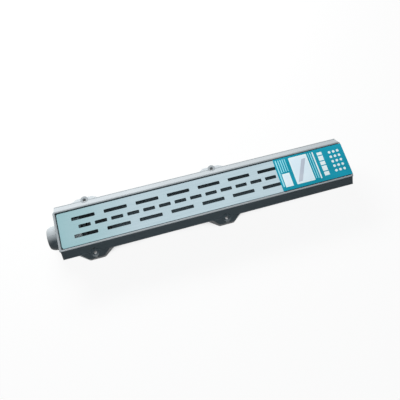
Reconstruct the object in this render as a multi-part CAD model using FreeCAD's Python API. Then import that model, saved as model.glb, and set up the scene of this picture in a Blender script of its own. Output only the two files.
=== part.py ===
import FreeCAD, Part
import math
import os

# Linear shower channel with a slotted grate, a side outlet and four fixing lugs.
# Frame: origin under the middle of the rim, in the plane that the feet stand on.
# +X runs along the channel away from the outlet, +Z is up, millimetres throughout.

# ---------------------------------------------------------------- driving dimensions
LENGTH = 500.0                  # rim, outside, along X
WIDTH = 68.0                    # rim, outside, along Y
HEIGHT = 50.0                   # feet to the top of the rim
WALL = 2.8                      # moulded wall

RIM_WALL = 3.6                  # upstand round the grate
RIM_CORNER = 3.5                # plan radius of the upstand's outside corners
RIM_EDGE = 0.7                  # bevel along the top of the upstand
LEDGE_DROP = 9.0                # rim's top to the ledge that carries the grate
LEDGE_THICKNESS = 3.0

MOUTH_HALF = 26.0               # trough, inside, half width under the ledge
FOOT_HALF = 22.0                # trough, inside, half width at its floor
FLOOR_CORNER = 7.0              # rounding between the trough's walls and floor
FLOOR_HIGH = 16.0               # floor's height at the end away from the outlet
FLOOR_LOW = 9.0                 # floor's height where it drops into the sump
SUMP_LENGTH = 83.0              # deep part of the trough in front of the outlet
SUMP_FLOOR = 3.0
END_INSET = 7.0                 # rim's end face to the inside of the trough's end wall

SKIRT_TOP = 1.0                 # rim's top to the start of the sloping skirt
SKIRT_DROP = 8.0                # height of the slope
SKIRT_REACH = 8.8               # how far the slope runs out from the rim
SKIRT_WALL = 2.6
SKIRT_LIP = 1.4                 # level lip along the foot of the slope
SKIRT_INSET = 2.0               # rim's end face to the end of the skirt

LUG_PLACES = (-198.0, 20.0)     # middles of the two pairs of lugs
LUG_REACH = 52.0                # lug's face from the channel's centre line
LUG_TIP = 25.0                  # lug's width at its face
LUG_ROOT = 68.0                 # lug's width under the skirt
LUG_SHOULDER = 60.0             # lug's width where its flanks start, under the skirt
LUG_SHOULDER_Y = 38.5           # start of the flanks from the centre line
LUG_HOLLOW = 14.0               # concave radius where the flanks start
LUG_ROUND = 6.0                 # radius of the corners at the face
LUG_FOOT = 22.0                 # height of the lug's open underside
LUG_WALL = 2.4
BOSS_Y = 45.0                   # screw holes from the centre line
BOSS_RADIUS = 6.5
BOSS_TOP = 40.0                 # height of the seat for the screw's head
BOSS_LENGTH = 9.0
SCREW_HOLE_RADIUS = 2.75

PIPE_RADIUS = 20.0              # outlet spigot, outside
BORE_RADIUS = 17.2
PIPE_AXIS_Z = 20.5
PIPE_REACH = 17.5               # spigot's mouth beyond the rim's end face
PIPE_NOSE = 9.0                 # length of the rounded lead-in
PIPE_NOSE_DROP = 3.5            # how much the lead-in narrows the spigot's radius
MOUTH_RADIUS = 14.4             # bore's radius at the mouth
COLLAR_RADIUS = 22.5            # stop collar at the spigot's root, flush with the rim's end

GUSSET_PITCH = 62.0
GUSSET_WALL = 2.2
FOOT_RIB_PITCH = 67.0           # cross ribs that stand the channel level
FOOT_RIB_WALL = 2.5
FOOT_RIB_HALF = 19.0

GRATE_GAP = 0.8                 # all round, between the grate and the upstand
GRATE_SHEET = 1.5
GRATE_FLANGE = 8.0              # height of the folded edges
GRATE_BEND = 2.2                # outside radius of the folds
SLOT_PITCH = 52.4
SLOT_FIRST = 45.85              # rim's outlet end to the middle of the first slots
SLOT_COUNT = 9                  # long slots in each outer row
SLOT_LONG = 37.6
SLOT_SHORT = 19.4
SLOT_WIDTH = 5.7
SLOT_CORNER = 0.8               # bevel of a slot's corners
SLOT_ROW = 14.45                # distance between the rows

PAD_PLACES = (-205.0, 0.0, 205.0)
PAD_LENGTH = 16.0
PAD_FOOT = 1.0                  # rubber between the folded edge and the ledge
PAD_SIDE = 0.5
PAD_HEIGHT = 4.0

TRAP_SLEEVE_RADIUS = 17.0
TRAP_SLEEVE_LENGTH = 15.0
TRAP_SLEEVE_WALL = 2.4
TRAP_WALL = 2.0
TRAP_HOOD_LENGTH = 28.0
TRAP_HOOD_HALF = 18.0
TRAP_HOOD_TOP = 37.4
TRAP_DIP = 8.0                  # hood's lower edge
TRAP_WEIR = 18.0                # height that the water climbs to
TRAP_PLATE_FOOT = 5.0
RING_SECTION = 0.75             # seal ring, half of its section's side
RING_PLACE = 7.5                # seal ring from the inside of the end wall

STRAINER_MIDDLE = -187.0
STRAINER_LENGTH = 40.0
STRAINER_WIDTH = 42.0
STRAINER_TOP = 30.0
STRAINER_FLOOR = 13.0
STRAINER_WALL = 1.6
STRAINER_CORNER = 4.0
STRAINER_HOLE = 2.3             # radius of the drain holes
STRAINER_HOLE_PITCH = 8.0
STRAINER_LEG = 3.0              # side of a square leg
STRAINER_LEG_PLACE = 13.0       # legs from the basket's middle

LABEL_LENGTH = 126.5
LABEL_WIDTH = 58.8
LABEL_SHEET = 0.4
LABEL_CORNER = 1.5

# ---------------------------------------------------------------- derived places
HALF_LENGTH = LENGTH / 2
HALF_WIDTH = WIDTH / 2
LEDGE_TOP = HEIGHT - LEDGE_DROP
LEDGE_UNDER = LEDGE_TOP - LEDGE_THICKNESS
TROUGH_END = HALF_LENGTH - END_INSET
SUMP_END = SUMP_LENGTH - TROUGH_END
GRATE_LENGTH = LENGTH - 2 * (RIM_WALL + GRATE_GAP)
GRATE_WIDTH = WIDTH - 2 * (RIM_WALL + GRATE_GAP)
GRATE_FOOT = HEIGHT - GRATE_FLANGE
SKIRT_EDGE = HALF_WIDTH + SKIRT_REACH
SLOPE = SKIRT_DROP / SKIRT_REACH


def vec(x, y, z):
    return FreeCAD.Vector(x, y, z)


def rounded_wire(points, radii):
    """Closed wire through the points, each corner rounded by its radius."""
    corners = []
    for i, (point, radius) in enumerate(zip(points, radii)):
        before = (points[i - 1] - point).normalize()
        after = (points[(i + 1) % len(points)] - point).normalize()
        if radius == 0:
            corners.append((point, None, point))
            continue
        half = before.getAngle(after) / 2
        inward = (before + after).normalize()
        setback = radius / math.tan(half)
        middle = point + inward * (radius / math.sin(half) - radius)
        corners.append((point + before * setback, middle, point + after * setback))
    edges = []
    for i, (start, middle, end) in enumerate(corners):
        if middle is not None:
            edges.append(Part.Arc(start, middle, end).toShape())
        following = corners[(i + 1) % len(corners)][0]
        if (following - end).Length > 1e-6:
            edges.append(Part.LineSegment(end, following).toShape())
    return Part.Wire(edges)


def prism(points, radii, direction):
    """Solid swept straight from a rounded outline."""
    return Part.Face(rounded_wire(points, radii)).extrude(direction)


def plate(length, width, corner, z_low, z_high, x=0.0, y=0.0):
    """Upright prism with a rounded rectangle for its plan."""
    a, b = length / 2, width / 2
    plan = [vec(x + sx * a, y + sy * b, z_low) for sx, sy in ((-1, -1), (1, -1), (1, 1), (-1, 1))]
    return prism(plan, [corner] * 4, vec(0, 0, z_high - z_low))


def block(x_low, x_high, y_low, y_high, z_low, z_high):
    return Part.makeBox(x_high - x_low, y_high - y_low, z_high - z_low, vec(x_low, y_low, z_low))


def profile(x_low, x_high, outline, radii=None):
    """Solid swept along X from an outline of (y, z) points."""
    points = [vec(x_low, y, z) for y, z in outline]
    return prism(points, radii or [0] * len(points), vec(x_high - x_low, 0, 0))


def both_sides(shape):
    """The shape and its mirror image across the channel's centre plane."""
    return [shape, shape.mirror(vec(0, 0, 0), vec(0, 1, 0))]


def edges_at(shape, z):
    """Edges that lie wholly at one height."""
    return [edge for edge in shape.Edges
            if abs(edge.BoundBox.ZMin - z) < 1e-4 and abs(edge.BoundBox.ZMax - z) < 1e-4]


def fuse_all(first, others):
    return first.multiFuse(others).removeSplitter()


# ---------------------------------------------------------------- channel body
def trough_run(x_low, x_high, floor, rise, grow):
    """Stretch of trough with rounded floor corners, tilted to its own slope."""
    top = LEDGE_UNDER + 1
    outline = [(-MOUTH_HALF - grow, top), (-FOOT_HALF - grow, floor - grow),
               (FOOT_HALF + grow, floor - grow), (MOUTH_HALF + grow, top)]
    corner = FLOOR_CORNER + grow
    spare = HEIGHT
    sweep = profile(x_low - spare, x_high + spare, outline, [0, corner, corner, 0])
    tilt = math.degrees(math.atan2(rise, x_high - x_low))
    sweep.rotate(vec(x_low, 0, floor - grow), vec(0, -1, 0), tilt)
    return sweep.common(block(x_low, x_high, -WIDTH, WIDTH, -HEIGHT, top))


def trough(grow):
    """Sloping trough with its sump: the water's space, or the outside of its walls."""
    sump = trough_run(-TROUGH_END - grow, SUMP_END + grow, SUMP_FLOOR, 0, grow)
    run = trough_run(SUMP_END - grow, TROUGH_END + grow, FLOOR_LOW, FLOOR_HIGH - FLOOR_LOW, grow)
    return sump.fuse(run)


def pocket():
    """Room for the grate, from the ledge up through the rim."""
    return plate(LENGTH - 2 * RIM_WALL, WIDTH - 2 * RIM_WALL, RIM_CORNER - RIM_WALL / 2,
                 LEDGE_TOP, HEIGHT + 1)


def rim():
    """Upstand round the grate, standing on the ledge."""
    ring = plate(LENGTH, WIDTH, RIM_CORNER, LEDGE_UNDER, HEIGHT).cut(pocket())
    return ring.makeChamfer(RIM_EDGE, edges_at(ring, HEIGHT))


def slope_height(y):
    """Height of the skirt's outer face, carried on outwards by the lugs."""
    return HEIGHT - SKIRT_TOP - (y - HALF_WIDTH) * SLOPE


def skirt():
    """Sloping skirt along one side, with a level lip at its foot."""
    low = slope_height(SKIRT_EDGE)
    under = SKIRT_WALL * math.sqrt(1 + SLOPE ** 2)
    inner = HALF_WIDTH - RIM_WALL / 2
    outline = [(inner, slope_height(HALF_WIDTH)), (HALF_WIDTH, slope_height(HALF_WIDTH)),
               (SKIRT_EDGE, low), (SKIRT_EDGE + SKIRT_LIP, low),
               (SKIRT_EDGE + SKIRT_LIP, low - SKIRT_WALL / 2),
               (SKIRT_EDGE - (under - SKIRT_WALL / 2) / SLOPE, low - SKIRT_WALL / 2),
               (inner, slope_height(inner) - under)]
    return profile(-HALF_LENGTH + SKIRT_INSET, HALF_LENGTH - SKIRT_INSET, outline)


def gusset(x):
    """Web between the trough's side and the underside of the skirt."""
    low = slope_height(SKIRT_EDGE)
    outline = [(FOOT_HALF + WALL, FLOOR_HIGH + 4), (FOOT_HALF + 2 * WALL, FLOOR_HIGH + 4),
               (SKIRT_EDGE - 2, low - SKIRT_WALL), (SKIRT_EDGE - 2, low - 1),
               (HALF_WIDTH, LEDGE_TOP + 1), (FOOT_HALF + WALL, LEDGE_TOP)]
    return profile(x - GUSSET_WALL / 2, x + GUSSET_WALL / 2, outline)


def gusset_places():
    """Even pitch along the skirt, with one at each end and none inside a lug."""
    last = HALF_LENGTH - SKIRT_INSET - GUSSET_WALL / 2
    inner = [i * GUSSET_PITCH + GUSSET_PITCH / 2 for i in range(-4, 4)]
    free = [x for x in inner if all(abs(x - lug) > LUG_ROOT / 2 + GUSSET_WALL for lug in LUG_PLACES)]
    return [-last] + free + [last]


def lug_form(x, grow):
    """Lug as a solid: a tapering plan under a face that carries on the skirt's slope."""
    root, shoulder, tip = (width / 2 + grow for width in (LUG_ROOT, LUG_SHOULDER, LUG_TIP))
    inner, start, face = FOOT_HALF + WALL / 2, LUG_SHOULDER_Y + grow, LUG_REACH + grow
    plan = [(-root, inner), (root, inner), (root, start), (shoulder, start), (tip, face),
            (-tip, face), (-shoulder, start), (-root, start)]
    hollow, rounding = LUG_HOLLOW - grow, LUG_ROUND + grow
    column = prism([vec(x + dx, y, LUG_FOOT - 1) for dx, y in plan],
                   [0, 0, 0, hollow, rounding, rounding, hollow, 0],
                   vec(0, 0, HEIGHT - LUG_FOOT))
    drop = grow * math.sqrt(1 + SLOPE ** 2)
    foot = LUG_FOOT + min(grow, 0)
    top = slope_height(HALF_WIDTH) + drop
    outline = [(inner, foot), (face, foot), (face, slope_height(face) + drop), (HALF_WIDTH, top),
               (inner, top)]
    corner = max(3 + grow, 0.5)
    return column.common(profile(x - root, x + root, outline, [0, 0, corner, 0, 0]))


def lug(x):
    """Hollow fixing lug with a level-seated screw boss, open underneath."""
    shell = lug_form(x, 0.0).cut(lug_form(x, -LUG_WALL))
    boss = Part.makeCylinder(BOSS_RADIUS, BOSS_LENGTH, vec(x, BOSS_Y, BOSS_TOP - BOSS_LENGTH))
    seat = Part.makeCylinder(BOSS_RADIUS, HEIGHT - BOSS_TOP, vec(x, BOSS_Y, BOSS_TOP))
    return shell.fuse(boss).cut(seat)


def screw_space(x):
    """Screw hole through a lug, and the room for the screw's head above its seat."""
    hole = Part.makeCylinder(SCREW_HOLE_RADIUS, HEIGHT, vec(x, BOSS_Y, 0))
    head = Part.makeCylinder(BOSS_RADIUS, HEIGHT - BOSS_TOP, vec(x, BOSS_Y, BOSS_TOP))
    return hole.fuse(head)


def spigot():
    """Outlet spigot, turned about its own axis: a rounded nose outside, a tapered mouth inside."""
    mouth, start = -HALF_LENGTH - PIPE_REACH, -TROUGH_END - WALL / 2
    turn = (PIPE_NOSE ** 2 + PIPE_NOSE_DROP ** 2) / (2 * PIPE_NOSE_DROP)
    half = math.asin(PIPE_NOSE / turn) / 2
    shoulder = vec(mouth + PIPE_NOSE, 0, PIPE_RADIUS)
    bulge = shoulder - vec(turn * math.sin(half), 0, turn * (1 - math.cos(half)))
    nose = vec(mouth, 0, PIPE_RADIUS - PIPE_NOSE_DROP)
    inside = [nose, vec(mouth, 0, MOUTH_RADIUS), vec(mouth + PIPE_NOSE, 0, BORE_RADIUS),
              vec(start, 0, BORE_RADIUS), vec(start, 0, PIPE_RADIUS), shoulder]
    edges = [Part.LineSegment(a, b).toShape() for a, b in zip(inside, inside[1:])]
    outline = Part.Wire([Part.Arc(shoulder, bulge, nose).toShape()] + edges)
    tube = Part.Face(outline).revolve(vec(0, 0, 0), vec(1, 0, 0), 360)
    tube.translate(vec(0, 0, PIPE_AXIS_Z))
    return tube


def collar():
    """Stop collar round the spigot's root, flattened where it meets the feet's plane."""
    start, end = -TROUGH_END - WALL / 2, -HALF_LENGTH
    ring = Part.makeCylinder(COLLAR_RADIUS, start - end, vec(end, 0, PIPE_AXIS_Z), vec(1, 0, 0))
    return ring.common(block(end, start, -WIDTH, WIDTH, 0, HEIGHT))


def floor_height(x):
    """Height of the trough's sloping floor inside."""
    return FLOOR_LOW + (FLOOR_HIGH - FLOOR_LOW) * (x - SUMP_END) / (TROUGH_END - SUMP_END)


def foot_rib(x):
    """Cross rib under the sloping floor, down to the plane of the feet."""
    return block(x - FOOT_RIB_WALL / 2, x + FOOT_RIB_WALL / 2, -FOOT_RIB_HALF, FOOT_RIB_HALF,
                 0, floor_height(x) - WALL / 2)


def channel_body():
    pieces = [trough(WALL)]
    pieces += both_sides(skirt())
    for x in gusset_places():
        pieces += both_sides(gusset(x))
    for x in LUG_PLACES:
        pieces += both_sides(lug(x))
    pieces += [foot_rib(i * FOOT_RIB_PITCH) for i in range(-2, 4)]
    pieces += [spigot(), collar()]
    body = fuse_all(rim(), pieces)
    bore = Part.makeCylinder(BORE_RADIUS, END_INSET * 2, vec(-TROUGH_END + 1, 0, PIPE_AXIS_Z),
                             vec(-1, 0, 0))
    mouth = block(-TROUGH_END, TROUGH_END, -MOUTH_HALF, MOUTH_HALF, LEDGE_UNDER, LEDGE_TOP + 1)
    spaces = [trough(0.0), pocket(), mouth, bore]
    for x in LUG_PLACES:
        spaces += both_sides(screw_space(x))
    for space in spaces:
        body = body.cut(space)
    return body.removeSplitter()


# ---------------------------------------------------------------- grate and its pads
def slot(x, y, length):
    """Punch for one slot, with its corners bevelled."""
    punch = plate(length, SLOT_WIDTH, 0, HEIGHT - 2 * GRATE_SHEET, HEIGHT + 1, x, y)
    upright = [edge for edge in punch.Edges if edge.BoundBox.ZLength > GRATE_SHEET]
    return punch.makeChamfer(SLOT_CORNER, upright)


def folded_sheet(span, reach, turn):
    """Sheet bent down along both edges of its span, swept from -reach to reach.

    turn swaps the sweep from X to Y for the grate's end flanges.
    """
    a, t = span / 2, GRATE_SHEET
    outline = [(-a, GRATE_FOOT), (-a, HEIGHT), (a, HEIGHT), (a, GRATE_FOOT),
               (a - t, GRATE_FOOT), (a - t, HEIGHT - t), (t - a, HEIGHT - t), (t - a, GRATE_FOOT)]
    bend = GRATE_BEND
    sheet = profile(-reach, reach, outline, [0, bend, bend, 0, 0, bend - t, bend - t, 0])
    if turn:
        sheet.rotate(vec(0, 0, 0), vec(0, 0, 1), 90)
    return sheet


def grate():
    """Pressed tray of sheet steel: three rows of slots, edges folded down."""
    long_folds = folded_sheet(GRATE_WIDTH, GRATE_LENGTH / 2 - GRATE_BEND, False)
    end_folds = folded_sheet(GRATE_LENGTH, GRATE_WIDTH / 2 - GRATE_BEND, True)
    sheet = long_folds.fuse(end_folds).removeSplitter()
    slots = []
    for i in range(SLOT_COUNT):
        x = SLOT_FIRST - HALF_LENGTH + i * SLOT_PITCH
        slots += [slot(x, -SLOT_ROW, SLOT_LONG), slot(x, SLOT_ROW, SLOT_LONG)]
        slots.append(slot(x, 0, SLOT_SHORT))
        if i < SLOT_COUNT - 1:
            slots.append(slot(x + SLOT_PITCH / 2, 0, SLOT_SHORT))
    return sheet.cut(Part.makeCompound(slots))


def grate_pads():
    """Rubber clips pushed onto the folded edges, which rest on the ledge."""
    outer = GRATE_WIDTH / 2
    inner = outer - GRATE_SHEET
    outline = [(inner - PAD_SIDE, LEDGE_TOP), (outer + PAD_SIDE, LEDGE_TOP),
               (outer + PAD_SIDE, LEDGE_TOP + PAD_HEIGHT), (outer, LEDGE_TOP + PAD_HEIGHT),
               (outer, LEDGE_TOP + PAD_FOOT), (inner, LEDGE_TOP + PAD_FOOT),
               (inner, LEDGE_TOP + PAD_HEIGHT), (inner - PAD_SIDE, LEDGE_TOP + PAD_HEIGHT)]
    pads = []
    for x in PAD_PLACES:
        pads += both_sides(profile(x - PAD_LENGTH / 2, x + PAD_LENGTH / 2, outline))
    return Part.makeCompound(pads)


# ---------------------------------------------------------------- odour trap and strainer
def disc(x_low, x_high, radius):
    """Cylinder on the outlet's axis."""
    return Part.makeCylinder(radius, x_high - x_low, vec(x_low, 0, PIPE_AXIS_Z), vec(1, 0, 0))


def trap_cartridge():
    """Plug-in water trap: a sleeve in the outlet's bore behind a weir and a dipping hood."""
    wall_face = -TROUGH_END
    plate_face = wall_face + TRAP_WALL
    hood_face = plate_face + TRAP_HOOD_LENGTH
    half = TRAP_HOOD_HALF + TRAP_WALL
    backing = profile(wall_face, plate_face,
                      [(-half, TRAP_HOOD_TOP), (-half, TRAP_PLATE_FOOT),
                       (half, TRAP_PLATE_FOOT), (half, TRAP_HOOD_TOP)], [0, 8, 8, 0])
    sleeve = disc(wall_face - TRAP_SLEEVE_LENGTH, wall_face + TRAP_WALL / 2, TRAP_SLEEVE_RADIUS)
    hood = block(plate_face - TRAP_WALL / 2, hood_face, -half, half, TRAP_DIP, TRAP_HOOD_TOP)
    hood = hood.makeFillet(3.0, [edge for edge in edges_at(hood, TRAP_HOOD_TOP)
                                 if edge.CenterOfMass.x > plate_face])
    chamber = block(plate_face, hood_face - TRAP_WALL, -TRAP_HOOD_HALF, TRAP_HOOD_HALF,
                    TRAP_DIP - 1, TRAP_HOOD_TOP - TRAP_WALL)
    inner_radius = TRAP_SLEEVE_RADIUS - TRAP_SLEEVE_WALL
    way = disc(wall_face - TRAP_SLEEVE_LENGTH - 1, plate_face + 1, inner_radius)
    weir = block(wall_face - TRAP_WALL, plate_face + 1, -half, half, 0, TRAP_WEIR)
    groove_low = wall_face - RING_PLACE - 2 * RING_SECTION
    groove_high = wall_face - RING_PLACE + 2 * RING_SECTION
    groove = disc(groove_low, groove_high, TRAP_SLEEVE_RADIUS + 1).cut(
        disc(groove_low, groove_high, BORE_RADIUS - 2 * RING_SECTION))
    body = fuse_all(backing, [sleeve, hood])
    return body.cut(chamber).cut(way.cut(weir)).cut(groove)


def trap_seal_ring():
    """Square-section seal ring in the sleeve's groove, against the bore."""
    middle = -TROUGH_END - RING_PLACE
    low, high = middle - RING_SECTION, middle + RING_SECTION
    return disc(low, high, BORE_RADIUS).cut(disc(low, high, BORE_RADIUS - 2 * RING_SECTION))


def hair_strainer():
    """Moulded strainer basket that stands in the sump on four short legs."""
    tray = plate(STRAINER_LENGTH, STRAINER_WIDTH, STRAINER_CORNER,
                 STRAINER_FLOOR, STRAINER_TOP, STRAINER_MIDDLE)
    hollow = plate(STRAINER_LENGTH - 2 * STRAINER_WALL, STRAINER_WIDTH - 2 * STRAINER_WALL,
                   STRAINER_CORNER - STRAINER_WALL, STRAINER_FLOOR + STRAINER_WALL,
                   STRAINER_TOP + 1, STRAINER_MIDDLE)
    places = [(i - 1.5) * STRAINER_HOLE_PITCH for i in range(4)]
    rows = [(i - 1) * STRAINER_HOLE_PITCH for i in range(3)]
    holes = [Part.makeCylinder(STRAINER_HOLE, 3 * STRAINER_WALL,
                               vec(STRAINER_MIDDLE + dx, dy, STRAINER_FLOOR - 1))
             for dx in places for dy in rows]
    legs = [plate(STRAINER_LEG, STRAINER_LEG, 0, SUMP_FLOOR, STRAINER_FLOOR + STRAINER_WALL / 2,
                  STRAINER_MIDDLE + sx * STRAINER_LEG_PLACE, sy * STRAINER_LEG_PLACE)
            for sx in (-1, 1) for sy in (-1, 1)]
    return fuse_all(tray.cut(hollow).cut(Part.makeCompound(holes)), legs)


# ---------------------------------------------------------------- product label
def label_card():
    """Thin printed card that lies on the grate's far end, flush with the rim's end."""
    return plate(LABEL_LENGTH, LABEL_WIDTH, LABEL_CORNER, HEIGHT, HEIGHT + LABEL_SHEET,
                 HALF_LENGTH - LABEL_LENGTH / 2)


NODES = {
    "channel_body": channel_body,
    "grate": grate,
    "grate_pads": grate_pads,
    "trap_cartridge": trap_cartridge,
    "trap_seal_ring": trap_seal_ring,
    "hair_strainer": hair_strainer,
    "label_card": label_card,
}

os.makedirs("parts", exist_ok=True)
for name, build in NODES.items():
    shape = build()
    shape.exportStep("parts/" + name + ".step")
    box = shape.BoundBox
    print(f"{name}: valid {shape.isValid()}, solids {len(shape.Solids)}, "
          f"volume {shape.Volume / 1000:.1f} cm3, z {box.ZMin:.1f} to {box.ZMax:.1f}")
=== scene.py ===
"""Finishes, printed label and studio for a linear shower channel with a slotted steel grate.

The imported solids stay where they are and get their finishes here. The label's card and its
print are modelled in this file. Lengths are in metres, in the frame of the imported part.
"""

import logging
import math
from dataclasses import dataclass
from enum import Enum
from typing import ClassVar

import bmesh
import bpy
from mathutils import Matrix, Vector


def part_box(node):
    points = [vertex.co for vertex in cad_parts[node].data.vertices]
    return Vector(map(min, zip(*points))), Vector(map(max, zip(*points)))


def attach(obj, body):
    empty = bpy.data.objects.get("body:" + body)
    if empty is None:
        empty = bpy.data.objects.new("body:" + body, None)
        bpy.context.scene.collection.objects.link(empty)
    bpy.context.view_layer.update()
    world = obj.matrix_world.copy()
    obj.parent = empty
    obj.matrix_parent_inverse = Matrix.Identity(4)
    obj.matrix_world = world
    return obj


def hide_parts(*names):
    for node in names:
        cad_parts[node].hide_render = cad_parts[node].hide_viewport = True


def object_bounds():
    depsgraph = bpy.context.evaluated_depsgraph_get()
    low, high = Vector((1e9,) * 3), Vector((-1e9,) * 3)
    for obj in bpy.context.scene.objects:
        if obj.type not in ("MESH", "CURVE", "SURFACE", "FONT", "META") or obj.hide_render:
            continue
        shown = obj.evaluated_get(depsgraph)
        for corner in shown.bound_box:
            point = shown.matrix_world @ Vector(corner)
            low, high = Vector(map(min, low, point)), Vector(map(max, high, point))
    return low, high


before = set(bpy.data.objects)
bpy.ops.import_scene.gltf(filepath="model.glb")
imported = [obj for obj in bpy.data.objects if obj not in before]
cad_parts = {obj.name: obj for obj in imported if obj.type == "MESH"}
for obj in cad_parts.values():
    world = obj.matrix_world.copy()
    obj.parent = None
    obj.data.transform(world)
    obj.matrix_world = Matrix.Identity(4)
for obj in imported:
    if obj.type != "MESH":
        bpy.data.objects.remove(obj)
CAD_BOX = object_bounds()

MM = 0.001
MOULD_DEPTH = 0.2 * MM          # depth of a mould's texture at full strength
LINE_DEPTH = 0.1 * MM           # depth of brush lines and fibres at full strength
NOISE = (0.3, 0.7)              # range that holds most of a noise
BODY = "root"
Colour = tuple[float, float, float]
Outline = list[tuple[float, float]]

logging.basicConfig(level=logging.INFO, format="%(message)s")
log = logging.getLogger("shower_channel")


# ------------------------------------------------------------------------------ named options
class Wire(Enum):
    """Kinds of socket on a shader node group."""

    VALUE = "NodeSocketFloat"
    VECTOR = "NodeSocketVector"


class Mark(Enum):
    """Shapes that the label's print is made of."""

    PANEL = "panel"
    DISC = "disc"
    SLANT = "slant"


class Seen(Enum):
    """Rays that are shown the plain white surroundings."""

    CAMERA = "Is Camera Ray"
    GLOSSY = "Is Glossy Ray"
    TRANSMISSION = "Is Transmission Ray"


# ------------------------------------------------------------------------------ shader nodes
class NodeSheet:
    """Short way of placing shader nodes in one tree and joining them."""

    def __init__(self, tree: bpy.types.NodeTree) -> None:
        """Keeps the tree that nodes are placed in."""
        self.tree = tree

    def feed(self, socket: bpy.types.NodeSocket, value: object) -> None:
        """Gives an input a constant, or links it from another socket.

        Args:
            socket: The input.
            value: A constant of the socket's kind, or the socket to link from.
        """
        if isinstance(value, bpy.types.NodeSocket):
            self.tree.links.new(value, socket)
        elif isinstance(value, tuple) and socket.type == "RGBA":
            socket.default_value = (*value, 1.0)
        else:
            socket.default_value = value

    def add(self, kind: str, inputs: dict[str | int, object] | None = None,
            **settings: object) -> bpy.types.Node:
        """Places a node.

        Args:
            kind: The node's type, without its ShaderNode prefix.
            inputs: Constants or sockets for its inputs, by name or number.
            settings: Values for the node's own properties.

        Returns:
            The new node.
        """
        node = self.tree.nodes.new("ShaderNode" + kind)
        for name, value in settings.items():
            setattr(node, name, value)
        for key, value in (inputs or {}).items():
            self.feed(node.inputs[key], value)
        return node

    def sum(self, operation: str, *terms: object, clamp: bool = False) -> bpy.types.NodeSocket:
        """Does one step of arithmetic.

        Args:
            operation: Name of the Math node's operation.
            terms: Up to three constants or sockets.
            clamp: Whether the result is held between 0 and 1.

        Returns:
            The socket with the result.
        """
        node = self.add("Math", dict(enumerate(terms)), operation=operation, use_clamp=clamp)
        return node.outputs[0]

    def spread(self, value: object, low: object, high: object, to_low: float = 0.0,
               to_high: float = 1.0) -> bpy.types.NodeSocket:
        """Maps a range onto another one, held at its ends.

        Args:
            value: The socket to map.
            low: Where the first range starts.
            high: Where the first range ends.
            to_low: Result at and below the start.
            to_high: Result at and above the end.

        Returns:
            The socket with the result.
        """
        node = self.add("MapRange", {0: value, 1: low, 2: high, 3: to_low, 4: to_high},
                        clamp=True)
        return node.outputs[0]

    def tint(self, share: object, first: object, second: object) -> bpy.types.NodeSocket:
        """Mixes two colours.

        Args:
            share: How much of the second colour shows.
            first: Colour at a share of 0.
            second: Colour at a share of 1.

        Returns:
            The socket with the mixed colour.
        """
        node = self.add("Mix", {0: share, 6: first, 7: second}, data_type="RGBA")
        return node.outputs[2]

    def place(self, group: bpy.types.NodeTree, **values: object) -> bpy.types.Node:
        """Places a shared effect.

        Args:
            group: The effect's node group.
            values: What its inputs are given; underscores in a name stand for spaces.

        Returns:
            The group's node.
        """
        node = self.add("Group")
        node.node_tree = group
        for name, value in values.items():
            self.feed(node.inputs[name.replace("_", " ")], value)
        return node


class Effect:
    """A node group with named sockets, built once and placed wherever it is wanted."""

    name = ""
    inputs: dict[str, float] = {}
    outputs: dict[str, Wire] = {}

    @classmethod
    def group(cls) -> bpy.types.NodeTree:
        """Returns the effect's node group, and builds it the first time."""
        found = bpy.data.node_groups.get(cls.name)
        if found is not None:
            return found
        tree = bpy.data.node_groups.new(cls.name, "ShaderNodeTree")
        for name, default in cls.inputs.items():
            socket = tree.interface.new_socket(name, in_out="INPUT",
                                               socket_type=Wire.VALUE.value)
            socket.default_value = default
        for name, kind in cls.outputs.items():
            tree.interface.new_socket(name, in_out="OUTPUT", socket_type=kind.value)
        sheet = NodeSheet(tree)
        given = tree.nodes.new("NodeGroupInput")
        made = tree.nodes.new("NodeGroupOutput")
        for name, socket in cls.draw(sheet, given.outputs).items():
            tree.links.new(socket, made.inputs[name])
        return tree

    @staticmethod
    def draw(sheet: NodeSheet, given: bpy.types.NodeOutputs) -> dict[str, bpy.types.NodeSocket]:
        """Lays out the effect's nodes.

        Args:
            sheet: Where the nodes go.
            given: The group's own inputs, as sockets to link from.

        Returns:
            The socket for each of the group's outputs.
        """
        raise NotImplementedError


class SoftEdge(Effect):
    """Rounded look of an edge, with a broken mask of where it is rubbed."""

    name = "soft_edge"
    inputs = {"Radius": 0.0004, "Rub": 1.0, "Patch Scale": 90.0}
    outputs = {"Normal": Wire.VECTOR, "Rubbed": Wire.VALUE}
    FLAT, SHARP = 0.995, 0.86       # match of the two normals on a face, and on an edge
    BREAKS = (0.38, 0.62, 0.25)     # noise where rubbing starts and is whole, and the least of it

    @staticmethod
    def draw(sheet: NodeSheet, given: bpy.types.NodeOutputs) -> dict[str, bpy.types.NodeSocket]:
        """Compares the rounded normal with the true one; see Effect.draw."""
        rounded = sheet.add("Bevel", {"Radius": given["Radius"]}, samples=4).outputs[0]
        true = sheet.add("NewGeometry").outputs["Normal"]
        match = sheet.add("VectorMath", {0: rounded, 1: true}, operation="DOT_PRODUCT")
        turned = sheet.spread(match.outputs["Value"], SoftEdge.FLAT, SoftEdge.SHARP)
        where = sheet.add("TexCoord").outputs["Object"]
        patches = sheet.add("TexNoise", {"Vector": where, "Scale": given["Patch Scale"],
                                         "Detail": 4.0, "Roughness": 0.6})
        broken = sheet.spread(patches.outputs[0], *SoftEdge.BREAKS)
        rubbed = sheet.sum("MULTIPLY", turned, broken)
        return {"Normal": rounded,
                "Rubbed": sheet.sum("MULTIPLY", rubbed, given["Rub"], clamp=True)}


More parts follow.
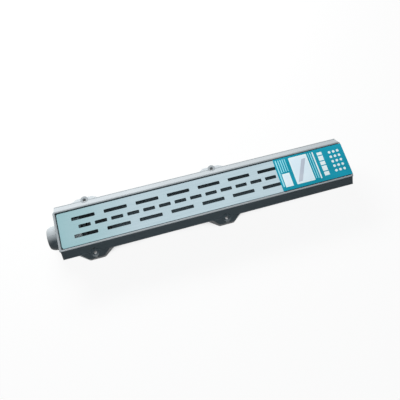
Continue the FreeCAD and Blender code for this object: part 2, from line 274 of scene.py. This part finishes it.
class ToolGrain(Effect):
    """Fine spark-eroded texture of a mould, with slow changes of tone along the flow."""

    name = "tool_grain"
    inputs = {"Grain Scale": 2200.0, "Flow Scale": 14.0}
    outputs = {"Height": Wire.VALUE, "Flow": Wire.VALUE, "Speck": Wire.VALUE}
    FLOW_STRETCH = (0.35, 1.0, 1.0)
    SPECK_SCALE, SPECK_RANGE = 420.0, (0.58, 0.72)

    @staticmethod
    def draw(sheet: NodeSheet, given: bpy.types.NodeOutputs) -> dict[str, bpy.types.NodeSocket]:
        """Puts a fine noise over a slow one; see Effect.draw."""
        where = sheet.add("TexCoord").outputs["Object"]
        fine = sheet.add("TexNoise", {"Vector": where, "Scale": given["Grain Scale"],
                                      "Detail": 2.0, "Roughness": 0.5})
        drawn = sheet.add("Mapping", {"Vector": where, "Scale": ToolGrain.FLOW_STRETCH})
        slow = sheet.add("TexNoise", {"Vector": drawn.outputs[0], "Scale": given["Flow Scale"],
                                      "Detail": 5.0, "Roughness": 0.55, "Distortion": 0.6})
        specks = sheet.add("TexNoise", {"Vector": where, "Scale": ToolGrain.SPECK_SCALE,
                                        "Detail": 3.0})
        return {"Height": fine.outputs[0], "Flow": slow.outputs[0],
                "Speck": sheet.spread(specks.outputs[0], *ToolGrain.SPECK_RANGE)}


class BrushLines(Effect):
    """Long fine scratches of brushed sheet, all along the channel."""

    name = "brush_lines"
    inputs = {"Line Scale": 2600.0, "Run": 14.0}
    outputs = {"Height": Wire.VALUE, "Line": Wire.VALUE, "Cloud": Wire.VALUE}
    WIDTHS = ((1.0, 3.0), (0.22, 5.0))      # share of the line scale and noise detail, each
    FINE_SHARE, COARSE_SHARE = 0.4, 0.6
    LINE_RANGE, CLOUD_SCALE = (0.36, 0.64), 9.0

    @staticmethod
    def draw(sheet: NodeSheet, given: bpy.types.NodeOutputs) -> dict[str, bpy.types.NodeSocket]:
        """Stretches noise into lines of two widths; see Effect.draw."""
        where = sheet.add("TexCoord").outputs["Object"]
        heights = []
        for share, detail in BrushLines.WIDTHS:
            across = sheet.sum("MULTIPLY", given["Line Scale"], share)
            scale = sheet.add("CombineXYZ", {0: given["Run"], 1: across, 2: across}).outputs[0]
            drawn = sheet.add("Mapping", {"Vector": where, "Scale": scale}).outputs[0]
            lines = sheet.add("TexNoise", {"Vector": drawn, "Scale": 1.0, "Detail": detail,
                                           "Roughness": 0.65})
            heights.append(lines.outputs[0])
        fine = sheet.sum("MULTIPLY", heights[0], BrushLines.FINE_SHARE)
        height = sheet.sum("MULTIPLY_ADD", heights[1], BrushLines.COARSE_SHARE, fine)
        cloud = sheet.add("TexNoise", {"Vector": where, "Scale": BrushLines.CLOUD_SCALE,
                                       "Detail": 4.0, "Roughness": 0.5, "Distortion": 0.4})
        return {"Height": height, "Line": sheet.spread(height, *BrushLines.LINE_RANGE),
                "Cloud": cloud.outputs[0]}


class PaintedEndReflection(Effect):
    """Slow change of tone along the channel, with an uneven front, that masks a painted dim
    reflection at the outlet end.
    """

    name = "painted_end_reflection"
    inputs = {"Start": -0.24, "End": -0.13}
    outputs = {"Along": Wire.VALUE}
    FRONT_SCALE = 11.0
    FRONT_SHIFT = 0.02              # how far the front strays to either side

    @staticmethod
    def draw(sheet: NodeSheet, given: bpy.types.NodeOutputs) -> dict[str, bpy.types.NodeSocket]:
        """Ramps along X, shifted by a slow noise; see Effect.draw."""
        where = sheet.add("TexCoord").outputs["Object"]
        uneven = sheet.add("TexNoise", {"Vector": where, "Scale": PaintedEndReflection.FRONT_SCALE,
                                        "Detail": 2.0})
        shift = sheet.spread(uneven.outputs[0], *NOISE, -PaintedEndReflection.FRONT_SHIFT,
                             PaintedEndReflection.FRONT_SHIFT)
        place = sheet.sum("ADD", sheet.add("SeparateXYZ", {0: where}).outputs[0], shift)
        return {"Along": sheet.spread(place, given["Start"], given["End"])}


class SettledDust(Effect):
    """Mask of dust on faces that look up, thicker in patches."""

    name = "settled_dust"
    inputs = {"Amount": 0.3, "Patch Scale": 60.0}
    outputs = {"Dusty": Wire.VALUE}
    TILT = (0.55, 0.98)             # upward part of the normal, bare and fully dusty
    PATCHES = (0.42, 0.7)           # noise, bare and fully dusty

    @staticmethod
    def draw(sheet: NodeSheet, given: bpy.types.NodeOutputs) -> dict[str, bpy.types.NodeSocket]:
        """Weighs noise by how far a face looks up; see Effect.draw."""
        geometry = sheet.add("NewGeometry").outputs["Normal"]
        up = sheet.add("SeparateXYZ", {0: geometry}).outputs[2]
        where = sheet.add("TexCoord").outputs["Object"]
        patches = sheet.add("TexNoise", {"Vector": where, "Scale": given["Patch Scale"],
                                         "Detail": 8.0, "Roughness": 0.7})
        flat = sheet.sum("MULTIPLY", sheet.spread(up, *SettledDust.TILT),
                         sheet.spread(patches.outputs[0], *SettledDust.PATCHES))
        return {"Dusty": sheet.sum("MULTIPLY", flat, given["Amount"], clamp=True)}


# ------------------------------------------------------------------------------ finishes
class Finish:
    """What every finish shares: a material with one shader, made once."""

    name: str
    ready: ClassVar[dict[str, bpy.types.Material]] = {}

    def material(self) -> bpy.types.Material:
        """Returns the finish's material, and makes it the first time."""
        if self.name in Finish.ready:
            return Finish.ready[self.name]
        made = bpy.data.materials.new(self.name)
        Finish.ready[self.name] = made
        made.use_nodes = True
        made.node_tree.nodes.clear()
        sheet = NodeSheet(made.node_tree)
        shader = sheet.add("BsdfPrincipled")
        output = sheet.add("OutputMaterial", {"Surface": shader.outputs[0]})
        output.is_active_output = True
        self.dress(sheet, shader)
        return made

    def dress(self, sheet: NodeSheet, shader: bpy.types.Node) -> None:
        """Feeds the shader.

        Args:
            sheet: The material's nodes.
            shader: Its Principled shader.
        """
        raise NotImplementedError


@dataclass(frozen=True)
class MouldedPlastic(Finish):
    """Injection-moulded plastic.

    Attributes:
        name: The material's name.
        colour: Plain colour of the plastic.
        streak: Colour in the slow flow marks.
        rubbed: Colour of handled edges.
        dust: Colour of what settles on it.
        roughness: Roughness of an untouched face.
        gloss: Specular level.
        grain: Depth of the mould's texture, as the bump's strength.
        wear: How far edges are rubbed.
        dusty: How much dust has settled.
        swing: How far the flow marks move the roughness either way.
        dull: How much roughness full dust adds.
    """

    name: str
    colour: Colour
    streak: Colour
    rubbed: Colour
    dust: Colour
    roughness: float
    gloss: float = 0.15
    grain: float = 0.12
    wear: float = 0.5
    dusty: float = 0.25
    swing: ClassVar[float] = 0.06
    dull: ClassVar[float] = 0.3

    def dress(self, sheet: NodeSheet, shader: bpy.types.Node) -> None:
        """Lays flow marks, rubbed edges and dust over the plastic; see Finish.dress."""
        grain = sheet.place(ToolGrain.group())
        edge = sheet.place(SoftEdge.group(), Radius=0.0005, Rub=self.wear)
        dust = sheet.place(SettledDust.group(), Amount=self.dusty)
        plain = sheet.tint(sheet.spread(grain.outputs["Flow"], 0.35, 0.65), self.colour,
                           self.streak)
        handled = sheet.tint(edge.outputs["Rubbed"], plain, self.rubbed)
        sheet.feed(shader.inputs["Base Color"],
                   sheet.tint(dust.outputs["Dusty"], handled, self.dust))
        rough = sheet.spread(grain.outputs["Flow"], *NOISE, self.roughness - self.swing,
                             self.roughness + self.swing)
        sheet.feed(shader.inputs["Roughness"],
                   sheet.sum("MULTIPLY_ADD", dust.outputs["Dusty"], self.dull, rough, clamp=True))
        bump = sheet.add("Bump", {"Strength": self.grain, "Distance": MOULD_DEPTH,
                                  "Height": grain.outputs["Height"],
                                  "Normal": edge.outputs["Normal"]})
        sheet.feed(shader.inputs["Normal"], bump.outputs[0])
        shader.inputs["Specular IOR Level"].default_value = self.gloss


@dataclass(frozen=True)
class BrushedSteel(Finish):
    """Brushed stainless sheet.

    Attributes:
        name: The material's name.
        colour: Colour of the metal.
        line: Colour at the bottom of the brush lines.
        painted_dim_reflection: Colour that it turns to towards the outlet, a painted dim
            reflection there.
        pale_metal_and_edge_highlight: Paler colour of the cloudy tone, and of punched and folded
            edges, which are partly worn and partly a painted highlight.
        roughness: Mean roughness.
        grain: Depth of the brush lines, as the bump's strength.
        trough: How much rougher the bottom of a line is.
        ridge: How much smoother the top of a line is.
        dull: How much roughness full dust adds.
        cloud: How far the cloudy tone goes towards the paler colour.
    """

    name: str
    colour: Colour
    line: Colour
    painted_dim_reflection: Colour
    pale_metal_and_edge_highlight: Colour
    roughness: float = 0.34
    grain: float = 0.1
    trough: ClassVar[float] = 0.08
    ridge: ClassVar[float] = 0.06
    dull: ClassVar[float] = 0.5
    cloud: ClassVar[float] = 0.2

    def dress(self, sheet: NodeSheet, shader: bpy.types.Node) -> None:
        """Draws the lines, the cloudy tone, a painted dim reflection towards the outlet and edges
        that are partly worn and partly a painted highlight; see Finish.dress.
        """
        lines = sheet.place(BrushLines.group())
        drift = sheet.place(PaintedEndReflection.group())
        edge = sheet.place(SoftEdge.group(), Radius=0.0003, Rub=0.5, Patch_Scale=140.0)
        dust = sheet.place(SettledDust.group(), Amount=0.12, Patch_Scale=35.0)
        drawn = sheet.tint(lines.outputs["Line"], self.line, self.colour)
        # Painted dim reflection: the sheet turns darker and greener towards the outlet end.
        reflection_dimmed = sheet.tint(drift.outputs["Along"], self.painted_dim_reflection, drawn)
        clouded = sheet.tint(sheet.spread(lines.outputs["Cloud"], *NOISE, 0.0, self.cloud),
                             reflection_dimmed, self.pale_metal_and_edge_highlight)
        # Edges are partly worn and partly a painted highlight: they turn to the paler colour.
        sheet.feed(shader.inputs["Base Color"],
                   sheet.tint(edge.outputs["Rubbed"], clouded, self.pale_metal_and_edge_highlight))
        rough = sheet.spread(lines.outputs["Line"], 0.0, 1.0, self.roughness + self.trough,
                             self.roughness - self.ridge)
        sheet.feed(shader.inputs["Roughness"],
                   sheet.sum("MULTIPLY_ADD", dust.outputs["Dusty"], self.dull, rough, clamp=True))
        bump = sheet.add("Bump", {"Strength": self.grain, "Distance": LINE_DEPTH,
                                  "Height": lines.outputs["Height"],
                                  "Normal": edge.outputs["Normal"]})
        sheet.feed(shader.inputs["Normal"], bump.outputs[0])
        shader.inputs["Metallic"].default_value = 1.0


@dataclass(frozen=True)
class SealRubber(Finish):
    """Black moulded rubber with a faint bloom.

    Attributes:
        name: The material's name.
        colour: Colour of the rubber.
        bloom: Paler colour where it has bloomed.
        roughness: Least and greatest roughness.
        gloss: Specular level.
        grain: Depth of the mould's texture, as the bump's strength.
    """

    name: str
    colour: Colour
    bloom: Colour
    roughness: tuple[float, float] = (0.62, 0.82)
    gloss: float = 0.35
    grain: float = 0.2

    def dress(self, sheet: NodeSheet, shader: bpy.types.Node) -> None:
        """Lays the bloom over the rubber; see Finish.dress."""
        grain = sheet.place(ToolGrain.group(), Grain_Scale=1600.0, Flow_Scale=60.0)
        edge = sheet.place(SoftEdge.group(), Radius=0.0003, Rub=0.4)
        pale = sheet.sum("ADD", sheet.spread(grain.outputs["Flow"], 0.5, 0.75, 0.0, 0.5),
                         edge.outputs["Rubbed"], clamp=True)
        sheet.feed(shader.inputs["Base Color"], sheet.tint(pale, self.colour, self.bloom))
        sheet.feed(shader.inputs["Roughness"],
                   sheet.spread(grain.outputs["Flow"], *NOISE, *self.roughness))
        bump = sheet.add("Bump", {"Strength": self.grain, "Distance": MOULD_DEPTH,
                                  "Height": grain.outputs["Height"],
                                  "Normal": edge.outputs["Normal"]})
        sheet.feed(shader.inputs["Normal"], bump.outputs[0])
        shader.inputs["Specular IOR Level"].default_value = self.gloss


@dataclass(frozen=True)
class PrintedInk(Finish):
    """Ink or printed card under a thin gloss varnish.

    Attributes:
        name: The material's name.
        colour: Colour of the ink.
        drift: Colour that it drifts to across the print.
        varnish: Weight of the varnish.
        varnish_roughness: Roughness of the varnish.
        roughness: Least and greatest roughness of the ink itself.
        gloss: Specular level of the ink itself.
        fibre: Depth of the card's fibres, as the bump's strength.
        specks: How far specks move the colour.
    """

    name: str
    colour: Colour
    drift: Colour
    varnish: float = 0.12
    varnish_roughness: float = 0.15
    roughness: tuple[float, float] = (0.38, 0.5)
    gloss: float = 0.1
    fibre: float = 0.08
    specks: float = 0.12

    def dress(self, sheet: NodeSheet, shader: bpy.types.Node) -> None:
        """Gives the print its drift of tone, fibres and varnish; see Finish.dress."""
        grain = sheet.place(ToolGrain.group(), Grain_Scale=1100.0, Flow_Scale=22.0)
        share = sheet.spread(grain.outputs["Flow"], 0.32, 0.68)
        speckled = sheet.sum("MULTIPLY_ADD", grain.outputs["Speck"], self.specks, share,
                             clamp=True)
        sheet.feed(shader.inputs["Base Color"], sheet.tint(speckled, self.colour, self.drift))
        sheet.feed(shader.inputs["Roughness"],
                   sheet.spread(grain.outputs["Height"], *NOISE, *self.roughness))
        bump = sheet.add("Bump", {"Strength": self.fibre, "Distance": LINE_DEPTH,
                                  "Height": grain.outputs["Height"]})
        sheet.feed(shader.inputs["Normal"], bump.outputs[0])
        shader.inputs["Specular IOR Level"].default_value = self.gloss
        shader.inputs["Coat Weight"].default_value = self.varnish
        shader.inputs["Coat Roughness"].default_value = self.varnish_roughness


BODY_PLASTIC = MouldedPlastic("channel_plastic", colour=(0.29, 0.315, 0.33),
                              streak=(0.33, 0.355, 0.37), rubbed=(0.44, 0.465, 0.48),
                              dust=(0.4, 0.41, 0.41), roughness=0.42)
TRAP_PLASTIC = MouldedPlastic("trap_shell_plastic", colour=(0.66, 0.67, 0.66),
                              streak=(0.72, 0.73, 0.72), rubbed=(0.8, 0.8, 0.79),
                              dust=(0.5, 0.48, 0.44), roughness=0.32, wear=0.3)
STRAINER_PLASTIC = MouldedPlastic("strainer_plastic", colour=(0.1, 0.105, 0.11),
                                  streak=(0.13, 0.135, 0.14), rubbed=(0.24, 0.24, 0.25),
                                  dust=(0.3, 0.29, 0.27), roughness=0.4)
STEEL = BrushedSteel("brushed_steel", colour=(0.53, 0.66, 0.72), line=(0.45, 0.58, 0.64),
                     painted_dim_reflection=(0.25, 0.48, 0.51), pale_metal_and_edge_highlight=(0.62, 0.73, 0.79))
RUBBER = SealRubber("seal_rubber", (0.016, 0.016, 0.017), (0.06, 0.06, 0.062))
TEAL_CARD = PrintedInk("teal_card", (0.006, 0.27, 0.37), (0.012, 0.36, 0.5))
PALE_INK = PrintedInk("pale_ink", (0.8, 0.92, 0.94), (0.88, 0.96, 0.97))
LILAC_INK = PrintedInk("lilac_ink", (0.74, 0.87, 0.95), (0.82, 0.92, 0.98))
SKY_INK = PrintedInk("sky_ink", (0.28, 0.74, 0.86), (0.4, 0.82, 0.92))
GREY_INK = PrintedInk("grey_ink", (0.5, 0.55, 0.64), (0.6, 0.65, 0.72))


# ------------------------------------------------------------------------------ mesh making
# Section of a sheet's edge, as shares of the rolled width and of the thickness.
EDGE_ROLL = ((0.0, 0.0), (0.0, 0.45), (0.3, 0.85), (1.0, 1.0))


def rounded_outline(width: float, depth: float, corner: float, steps: int = 6) -> Outline:
    """Draws a rectangle with rounded corners about the origin.

    Args:
        width: Its size along X.
        depth: Its size along Y.
        corner: Radius of its corners.
        steps: Points along each corner's arc.

    Returns:
        The outline's points, anticlockwise.
    """
    points = []
    for quarter, (sx, sy) in enumerate(((1, 1), (-1, 1), (-1, -1), (1, -1))):
        centre = (sx * (width / 2 - corner), sy * (depth / 2 - corner))
        for step in range(steps + 1):
            angle = (quarter + step / steps) * math.pi / 2
            points.append((centre[0] + corner * math.cos(angle),
                           centre[1] + corner * math.sin(angle)))
    return points


def sheet_mesh(name: str, outline: Outline, middle: tuple[float, float], low: float, high: float,
               edge: float) -> bpy.types.Object:
    """Makes a thin sheet whose top edge is rolled over.

    Args:
        name: Name of the new piece.
        outline: The sheet's plan about its middle, anticlockwise.
        middle: Where its middle lies.
        low: Height of its underside.
        high: Height of its face.
        edge: Width of the rolled edge.

    Returns:
        The new piece, linked to the scene.
    """
    form = bmesh.new()
    reach = max(math.hypot(*point) for point in outline)
    rings = []
    for inward, upward in EDGE_ROLL:
        share, height = 1 - edge * inward / reach, low + (high - low) * upward
        rings.append([form.verts.new((middle[0] + x * share, middle[1] + y * share, height))
                      for x, y in outline])
    for lower, upper in zip(rings, rings[1:]):
        for i, vert in enumerate(lower):
            after = (i + 1) % len(lower)
            form.faces.new((vert, lower[after], upper[after], upper[i]))
    form.faces.new(rings[-1])
    form.faces.new(list(reversed(rings[0])))
    form.normal_update()
    mesh = bpy.data.meshes.new(name)
    form.to_mesh(mesh)
    form.free()
    piece = bpy.data.objects.new(name, mesh)
    bpy.context.scene.collection.objects.link(piece)
    return piece


def coat(node: str, finish: Finish) -> None:
    """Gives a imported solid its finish.

    Args:
        node: The solid's name.
        finish: The finish for all of it.
    """
    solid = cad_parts[node]
    if not solid.material_slots:
        solid.data.materials.append(None)
    for place in solid.material_slots:
        place.material = finish.material()
    log.info("%s: finished in %s", node, finish.name)


# ------------------------------------------------------------------------------ sub-assemblies
@dataclass
class Channel:
    """The moulded channel with its skirts, lugs and spigot."""

    finish: Finish = BODY_PLASTIC

    def build(self) -> None:
        """Dresses the moulding."""
        coat("channel_body", self.finish)


@dataclass
class GrateSet:
    """The slotted grate and the rubber clips that it sits on."""

    sheet: Finish = STEEL
    clips: Finish = RUBBER

    def build(self) -> None:
        """Dresses the grate and its clips."""
        coat("grate", self.sheet)
        coat("grate_pads", self.clips)


@dataclass
class OutletTrap:
    """The water trap in the outlet, its seal ring and the hair strainer before it."""

    shell: Finish = TRAP_PLASTIC
    ring: Finish = RUBBER
    basket: Finish = STRAINER_PLASTIC

    def build(self) -> None:
        """Dresses the trap, the ring and the basket."""
        coat("trap_cartridge", self.shell)
        coat("trap_seal_ring", self.ring)
        coat("hair_strainer", self.basket)


@dataclass(frozen=True)
class PrintField:
    """One printed shape on the label.

    Attributes:
        name: Name of the piece.
        mark: Its shape.
        start: Its left edge from the card's left edge, in millimetres.
        width: Its width along the channel, in millimetres.
        top: Its upper edge from the card's centre line, in millimetres.
        bottom: Its lower edge from the card's centre line, in millimetres.
        ink: Its finish.
        layer: How many layers of print lie under it.
        disc_points: Points round a disc.
        slant_lean: How far a slant leans over, as a share of its width.
        panel_corner: Radius of a panel's corners, as a share of its shorter side.
    """

    name: str
    mark: Mark
    start: float
    width: float
    top: float
    bottom: float
    ink: Finish
    layer: int = 0
    disc_points: ClassVar[int] = 32
    slant_lean: ClassVar[float] = 0.72
    panel_corner: ClassVar[float] = 0.03

    def outline(self) -> Outline:
        """Returns the shape's plan about its own middle."""
        width, depth = self.width * MM, (self.top - self.bottom) * MM
        if self.mark is Mark.DISC:
            turns = [step * math.tau / self.disc_points for step in range(self.disc_points)]
            return [(width / 2 * math.cos(turn), depth / 2 * math.sin(turn)) for turn in turns]
        if self.mark is Mark.SLANT:
            lean = width * self.slant_lean
            return [(-width / 2, -depth / 2), (width / 2 - lean, -depth / 2),
                    (width / 2, depth / 2), (lean - width / 2, depth / 2)]
        return rounded_outline(width, depth, min(width, depth) * self.panel_corner)


@dataclass
class ProductLabel:
    """Printed card on the grate's far end, with a plain generic layout.

    Attributes:
        corner: Radius of the card's corners, in millimetres.
        edge: Width of the card's rolled edge, in millimetres.
        ink_height: Thickness of one layer of print, in millimetres.
        ink_edge: Width of the print's rolled edge, in millimetres.
        layers: Layers of print that the card leaves room for.
        line_top: Upper end of the fine lines, in millimetres from the card's centre line.
        rule_top: Upper end of the rules, measured likewise.
        block_start: The blocks' left edge from the card's left edge, in millimetres.
        block_width: The blocks' width, in millimetres.
        block_top: Upper end of the row of blocks.
        block_gap: Gap between two blocks, in millimetres.
        block_lengths: The blocks' lengths, in millimetres.
        dot_start: The first dots' left edge from the card's left edge, in millimetres.
        dot_top: Upper edge of the first row of dots.
        dot_size: Diameter of a dot, in millimetres.
        dot_pitch: Distances between dots along and across the channel, in millimetres.
        dot_count: Dots along and across the channel.
    """

    corner: float = 1.5
    edge: float = 0.5
    ink_height: float = 0.02
    ink_edge: float = 0.05
    layers: int = 3
    line_top: float = 26.5
    rule_top: float = 26.0
    block_start: float = 78.5
    block_width: float = 9.0
    block_top: float = 23.0
    block_gap: float = 1.7
    block_lengths: tuple[float, ...] = (5.4, 8.6, 6.6, 9.2, 7.0)
    dot_start: float = 98.5
    dot_top: float = 20.6
    dot_size: float = 4.8
    dot_pitch: tuple[float, float] = (7.6, 8.6)
    dot_count: tuple[int, int] = (3, 5)

    def lines(self) -> list[PrintField]:
        """Returns the fine lines at the card's edge and the rules beside the panel."""
        edge_lines = ((2.8, 2.2, -22.0), (7.4, 1.8, 2.5), (11.4, 1.8, 3.5), (15.4, 1.6, 3.5),
                      (19.4, 1.3, 3.5))
        rules = ((62.4, 1.2, -21.0, SKY_INK), (66.2, 1.6, -21.5, SKY_INK),
                 (70.2, 2.3, -23.3, PALE_INK))
        made = [PrintField(f"label_line_{i}", Mark.PANEL, start, width, self.line_top, bottom,
                           SKY_INK) for i, (start, width, bottom) in enumerate(edge_lines, 1)]
        made += [PrintField(f"label_rule_{i}", Mark.PANEL, start, width, self.rule_top, bottom,
                            ink) for i, (start, width, bottom, ink) in enumerate(rules, 1)]
        return made

    def panels(self) -> list[PrintField]:
        """Returns the two bordered panels and the slanting field on the large one."""
        return [PrintField("label_small_panel", Mark.PANEL, 6.8, 13.6, 0.5, -23.5, PALE_INK),
                PrintField("label_small_field", Mark.PANEL, 9.0, 9.2, -2.0, -21.0, LILAC_INK, 1),
                PrintField("label_panel", Mark.PANEL, 27.0, 33.0, 26.0, -23.3, PALE_INK),
                PrintField("label_panel_field", Mark.PANEL, 29.0, 29.0, 24.0, -21.3, LILAC_INK, 1),
                PrintField("label_slant", Mark.SLANT, 30.5, 26.0, 19.0, -19.5, GREY_INK, 2)]

    def name_blocks(self) -> list[PrintField]:
        """Returns a row of plain blocks of uneven length."""
        blocks, top = [], self.block_top
        for i, length in enumerate(self.block_lengths, 1):
            blocks.append(PrintField(f"label_block_{i}", Mark.PANEL, self.block_start,
                                     self.block_width, top, top - length, PALE_INK))
            top -= length + self.block_gap
        return blocks

    def dots(self) -> list[PrintField]:
        """Returns a field of plain dots."""
        along, across = self.dot_count
        tops = [self.dot_top - self.dot_pitch[1] * j for j in range(across)]
        return [PrintField(f"label_dot_{i}_{j}", Mark.DISC,
                           self.dot_start + self.dot_pitch[0] * i, self.dot_size, top,
                           top - self.dot_size, PALE_INK)
                for i in range(along) for j, top in enumerate(tops)]

    def fields(self) -> list[PrintField]:
        """Returns the printed shapes, from the channel's middle outwards."""
        return self.lines() + self.panels() + self.name_blocks() + self.dots()

    def build(self) -> None:
        """Makes the card in place of its solid, and lays the print on it."""
        low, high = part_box("label_card")
        print_height = self.ink_height * MM
        face = high.z - self.layers * print_height
        size = high - low
        card = sheet_mesh("label_sheet", rounded_outline(size.x, size.y, self.corner * MM),
                          ((low.x + high.x) / 2, (low.y + high.y) / 2), low.z, face,
                          self.edge * MM)
        self.keep(card, TEAL_CARD)
        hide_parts("label_card")
        for item in self.fields():
            middle = (low.x + (item.start + item.width / 2) * MM,
                      (low.y + high.y) / 2 + (item.top + item.bottom) / 2 * MM)
            foot = face + item.layer * print_height
            piece = sheet_mesh(item.name, item.outline(), middle, foot - print_height / 2,
                               foot + print_height, self.ink_edge * MM)
            self.keep(piece, item.ink)

    def keep(self, piece: bpy.types.Object, finish: Finish) -> None:
        """Finishes a piece and lets it ride on the channel.

        Args:
            piece: The new piece.
            finish: Its finish.
        """
        piece.data.materials.append(finish.material())
        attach(piece, BODY)
        log.info("%s: made in %s", piece.name, finish.name)


# ------------------------------------------------------------------------------ studio
@dataclass(frozen=True)
class Lamp:
    """A soft rectangular lamp aimed at the channel.

    Attributes:
        name: Name of the lamp.
        azimuth: Bearing from the channel, in degrees from +X towards +Y.
        elevation: Height above the floor, in degrees.
        distance: From the channel's middle.
        size: Its width and height.
        power: In watts.
        colour: Its colour.
    """

    name: str
    azimuth: float
    elevation: float
    distance: float
    size: tuple[float, float]
    power: float
    colour: Colour = (1.0, 1.0, 1.0)

    def hang(self, target: Vector) -> None:
        """Hangs the lamp and aims it.

        Args:
            target: What it points at.
        """
        turn, rise = math.radians(self.azimuth), math.radians(self.elevation)
        away = Vector((math.cos(turn) * math.cos(rise), math.sin(turn) * math.cos(rise),
                       math.sin(rise)))
        light = bpy.data.lights.new(self.name, "AREA")
        light.shape = "RECTANGLE"
        light.size, light.size_y = self.size
        light.energy = self.power
        light.color = self.colour
        holder = bpy.data.objects.new(self.name, light)
        holder.visible_glossy = False
        holder.location = target + away * self.distance
        holder.rotation_euler = (-away).to_track_quat("-Z", "Y").to_euler()
        bpy.context.scene.collection.objects.link(holder)
        log.info("%s: %.2f W", self.name, self.power)


@dataclass
class Studio:
    """Pale floor, white surroundings, soft lamps and the camera.

    Attributes:
        floor_side: Length of the floor's side.
        floor_gap: How far the floor lies under the feet.
        floor_shade: Grey level of the floor, as the camera sees it.
        floor_bounce: Grey level of the floor, as it lights what stands on it.
        glow: Share of plain white that the camera is shown over the open floor.
        shade_reach: How far above the floor a piece may be to take that white away, which paints a
            contact shade under it.
        shade_range: Openness at which the white is gone, and at which it is whole.
        fill: Strength of the surroundings as light.
        lamps: The lamps.
        camera_place: Where the camera stands.
        camera_target: The point on the rim's plane that it looks at.
        camera_roll: Its roll about its own axis, in degrees.
        lens: Focal length, in millimetres.
        sensor: Width of the sensor, in millimetres.
        clip: Nearest and farthest distance that the camera shows.
    """

    floor_side: float = 8.0
    floor_gap: float = 0.0002
    floor_shade: float = 0.8
    floor_bounce: float = 0.12
    glow: float = 0.93
    shade_reach: float = 0.06
    shade_range: tuple[float, float] = (0.25, 0.4)
    fill: float = 0.006
    lamps: tuple[Lamp, ...] = (
        Lamp("far_lamp", azimuth=109.0, elevation=29.0, distance=1.0, size=(0.8, 0.2),
             power=22.3),
        Lamp("upper_lamp", azimuth=246.0, elevation=72.5, distance=0.75, size=(0.06, 0.06),
             power=0.67, colour=(0.64, 0.87, 1.0)),
    )
    camera_place: tuple[float, float, float] = (-0.1058, -0.2069, 0.7031)
    camera_target: tuple[float, float, float] = (-0.0157, -0.0073, 0.0502)
    camera_roll: float = -8.8
    lens: float = 37.8
    sensor: float = 36.0
    clip: tuple[float, float] = (0.01, 50.0)

    def shown_share(self, sheet: NodeSheet) -> bpy.types.NodeSocket:
        """Returns a mask of the rays that are shown plain white.

        Args:
            sheet: The nodes that it is placed among.

        Returns:
            The mask's socket.
        """
        rays = sheet.add("LightPath").outputs
        share = rays[Seen.CAMERA.value]
        for kind in (Seen.GLOSSY, Seen.TRANSMISSION):
            share = sheet.sum("MAXIMUM", share, rays[kind.value])
        return share

    def lay_floor(self) -> None:
        """Lays the floor under the feet, with a white glow that keeps the shadow and that an
        occlusion mask takes away under the pieces, a painted contact shade.
        """
        half, level = self.floor_side / 2, CAD_BOX[0].z - self.floor_gap
        mesh = bpy.data.meshes.new("floor")
        corners = ((-half, -half, level), (half, -half, level), (half, half, level),
                   (-half, half, level))
        mesh.from_pydata(corners, [], [(0, 1, 2, 3)])
        floor = bpy.data.objects.new("floor", mesh)
        bpy.context.scene.collection.objects.link(floor)
        material = bpy.data.materials.new("studio_floor")
        material.use_nodes = True
        material.node_tree.nodes.clear()
        sheet = NodeSheet(material.node_tree)
        shown = self.shown_share(sheet)
        grey = sheet.tint(shown, (self.floor_bounce,) * 3, (self.floor_shade,) * 3)
        shade = sheet.add("BsdfDiffuse", {"Color": grey})
        white = sheet.add("Emission", {"Color": (1.0, 1.0, 1.0), "Strength": 1.0})
        # Painted contact shade: the white glow fades where pieces cover the floor.
        contact_shade_occlusion = sheet.add("AmbientOcclusion", {"Distance": self.shade_reach}, samples=16)
        open_share = sheet.spread(contact_shade_occlusion.outputs["AO"], *self.shade_range, 0.0, self.glow)
        share = sheet.sum("MULTIPLY", shown, open_share)
        mixed = sheet.add("MixShader", {0: share, 1: shade.outputs[0], 2: white.outputs[0]})
        sheet.add("OutputMaterial", {"Surface": mixed.outputs[0]})
        mesh.materials.append(material)
        log.info("floor: laid")

    def surround(self) -> None:
        """Makes the surroundings white to look at and dim as a light."""
        world = bpy.data.worlds.new("surroundings")
        world.use_nodes = True
        world.node_tree.nodes.clear()
        sheet = NodeSheet(world.node_tree)
        strength = sheet.spread(self.shown_share(sheet), 0.0, 1.0, self.fill, 1.0)
        sky = sheet.add("Background", {"Color": (1.0, 1.0, 1.0), "Strength": strength})
        sheet.add("OutputWorld", {"Surface": sky.outputs[0]})
        bpy.context.scene.world = world

    def stand_camera(self) -> None:
        """Stands the camera, aims it and rolls it."""
        place, target = Vector(self.camera_place), Vector(self.camera_target)
        ahead = (target - place).normalized()
        right = ahead.cross(Vector((0, 0, 1))).normalized()
        up = right.cross(ahead)
        aim = Matrix((right, up, -ahead)).transposed()
        aim = Matrix.Rotation(math.radians(self.camera_roll), 3, ahead) @ aim
        lens = bpy.data.cameras.new("studio_camera")
        lens.lens = self.lens
        lens.sensor_width = self.sensor
        lens.clip_start, lens.clip_end = self.clip
        camera = bpy.data.objects.new("studio_camera", lens)
        camera.matrix_world = Matrix.Translation(place) @ aim.to_4x4()
        bpy.context.scene.collection.objects.link(camera)
        bpy.context.scene.camera = camera
        log.info("camera: %.0f mm from the rim", (target - place).length / MM)

    def build(self) -> None:
        """Sets up the whole studio."""
        bpy.context.scene.view_settings.view_transform = "Standard"
        self.lay_floor()
        self.surround()
        middle = (CAD_BOX[0] + CAD_BOX[1]) / 2
        for lamp in self.lamps:
            lamp.hang(middle)
        self.stand_camera()


def main() -> None:
    """Dresses the channel from the moulding outwards and sets up the studio."""
    for assembly in (Channel(), GrateSet(), OutletTrap(), ProductLabel(), Studio()):
        log.info("building %s", type(assembly).__name__)
        assembly.build()


if __name__ == "__main__":
    main()
